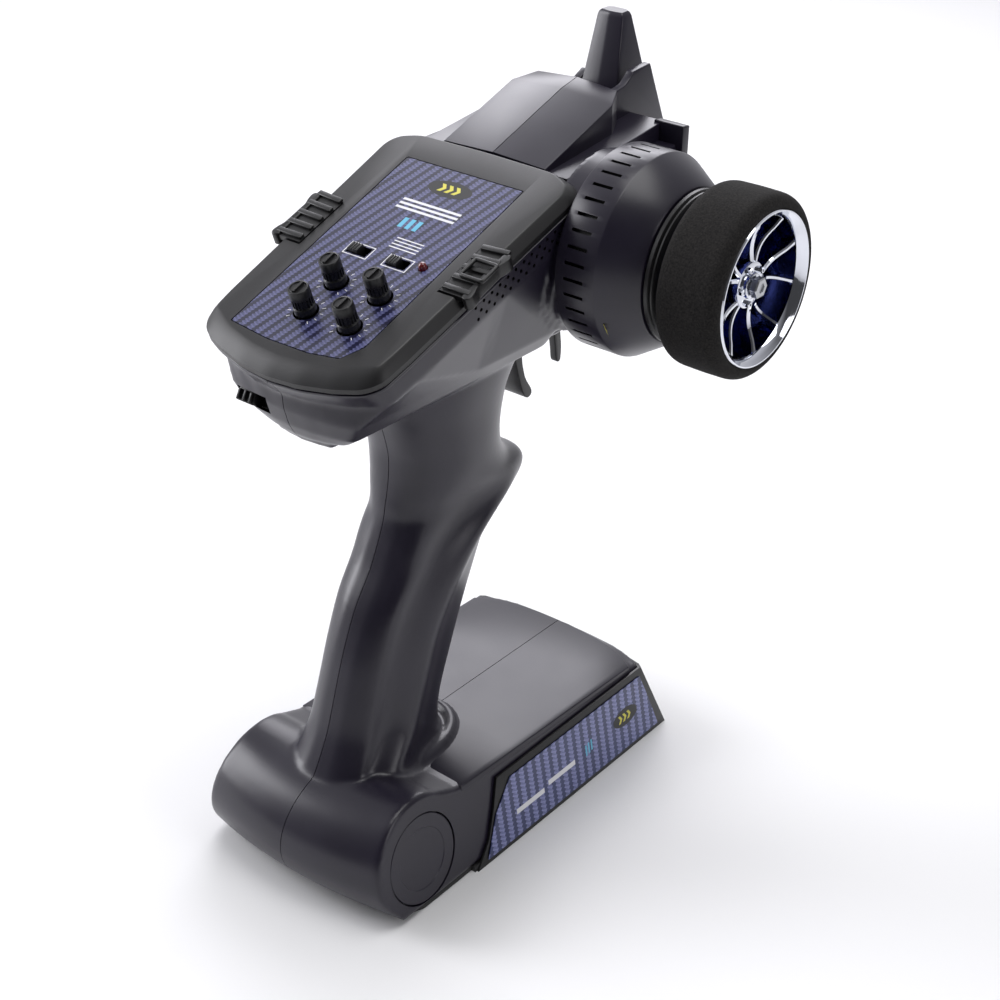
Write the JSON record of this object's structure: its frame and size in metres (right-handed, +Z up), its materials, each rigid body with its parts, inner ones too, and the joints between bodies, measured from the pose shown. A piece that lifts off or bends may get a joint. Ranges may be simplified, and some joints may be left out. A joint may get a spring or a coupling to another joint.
{
  "type": "radio transmitter controller",
  "caption": "Pistol-grip radio transmitter with a foam-tyred side steering wheel, finger trigger, sloping trim panel, stub aerial and flat battery base.",
  "frame": {"origin": "on the flat underside, on the middle plane, straight below the axis of the round rear barrel of the base", "axes": "+X to the user's right (wheel side), +Y forward, +Z up from the underside"},
  "size_m": [0.1568, 0.2092, 0.3],
  "materials": {
    "body": "satin moulded, violet charcoal",
    "lid": "fine matt",
    "dark": "matt black",
    "label": "printed weave film",
    "foam": "open-cell foam",
    "chrome": "bright plated",
    "steel": "plain",
    "brass": "plain",
    "lens": "clear dark red",
    "cell_wrap": "shrink wrap",
    "board": "solder mask"
  },
  "bodies": {
    "handset": {"housing_left": "body", "housing_right": "body", "wheel_housing": "body", "wheel_collar": "body", "end_cap_right": "body", "end_cap_left": "body", "base_tray": "body", "top_lid": "lid", "trim_pot_1": "dark", "trim_pot_2": "dark", "trim_pot_3": "dark", "trim_pot_4": "dark", "lid_clip_left": "dark", "lid_clip_right": "dark", "aerial_fin": "dark", "steering_pot": "dark", "trigger_pot": "dark", "panel_label": "label", "side_label_left": "label", "side_label_right": "label", "steering_spring": "steel", "trigger_pin": "steel", "trigger_spring": "steel", "contact_plate_left": "steel", "contact_plate_right": "steel", "reverse_switch_1": "steel", "reverse_switch_2": "steel", "power_switch": "steel", "shell_screw_1": "steel", "shell_screw_2": "steel", "shell_screw_3": "steel", "shell_screw_4": "steel", "tray_screw_1": "steel", "tray_screw_2": "steel", "tray_screw_3": "steel", "tray_screw_4": "steel", "aerial_core": "brass", "steering_bush": "brass", "status_led": "lens", "cell_1": "cell_wrap", "cell_2": "cell_wrap", "cell_3": "cell_wrap", "cell_4": "cell_wrap", "main_board": "board", "radio_board": "board"},
    "steering_wheel": {"wheel_tyre": "foam", "wheel_rim": "chrome", "wheel_nut": "steel", "steering_shaft": "steel"},
    "trigger_lever": {"trigger": "dark"},
    "trim_dial_1": {"trim_knob_1": "dark"},
    "trim_dial_2": {"trim_knob_2": "dark"},
    "trim_dial_3": {"trim_knob_3": "dark"},
    "trim_dial_4": {"trim_knob_4": "dark"},
    "reverse_key_1": {"reverse_slider_1": "dark"},
    "reverse_key_2": {"reverse_slider_2": "dark"},
    "power_key": {"power_slider": "dark"},
    "battery_cover": {"battery_door": "body"}
  },
  "joints": [
    {"name": "steering_turn", "type": "hinge", "parent": "handset", "child": "steering_wheel", "pos_m": [0.094, 0.1083, 0.235], "axis": [1, 0, 0], "range_deg": [-35, 35], "stiffness_Nm_per_rad": 0.12},
    {"name": "trigger_swing", "type": "hinge", "parent": "handset", "child": "trigger_lever", "pos_m": [0, 0.107, 0.21], "axis": [-1, 0, 0], "range_deg": [-12, 18], "stiffness_Nm_per_rad": 0.1},
    {"name": "trim_turn_1", "type": "hinge", "parent": "handset", "child": "trim_dial_1", "pos_m": [-0.0046, -0.00225, 0.23228], "axis": [0, -0.3364, 0.9417], "range_deg": [-135, 135]},
    {"name": "trim_turn_2", "type": "hinge", "parent": "handset", "child": "trim_dial_2", "pos_m": [0.015, -0.00225, 0.23228], "axis": [0, -0.3364, 0.9417], "range_deg": [-135, 135]},
    {"name": "trim_turn_3", "type": "hinge", "parent": "handset", "child": "trim_dial_3", "pos_m": [-0.0046, 0.01292, 0.23769], "axis": [0, -0.3364, 0.9417], "range_deg": [-135, 135]},
    {"name": "trim_turn_4", "type": "hinge", "parent": "handset", "child": "trim_dial_4", "pos_m": [0.015, 0.01292, 0.23769], "axis": [0, -0.3364, 0.9417], "range_deg": [-135, 135]},
    {"name": "reverse_slide_1", "type": "slide", "parent": "handset", "child": "reverse_key_1", "axis": [1, 0, 0], "range_m": [0, 0.0028]},
    {"name": "reverse_slide_2", "type": "slide", "parent": "handset", "child": "reverse_key_2", "axis": [1, 0, 0], "range_m": [0, 0.0028]},
    {"name": "power_slide", "type": "slide", "parent": "handset", "child": "power_key", "axis": [1, 0, 0], "range_m": [0, 0.0072]},
    {"name": "battery_cover_slide", "type": "slide", "parent": "handset", "child": "battery_cover", "axis": [0, 1, 0], "range_m": [0, 0.06]}
  ]
}
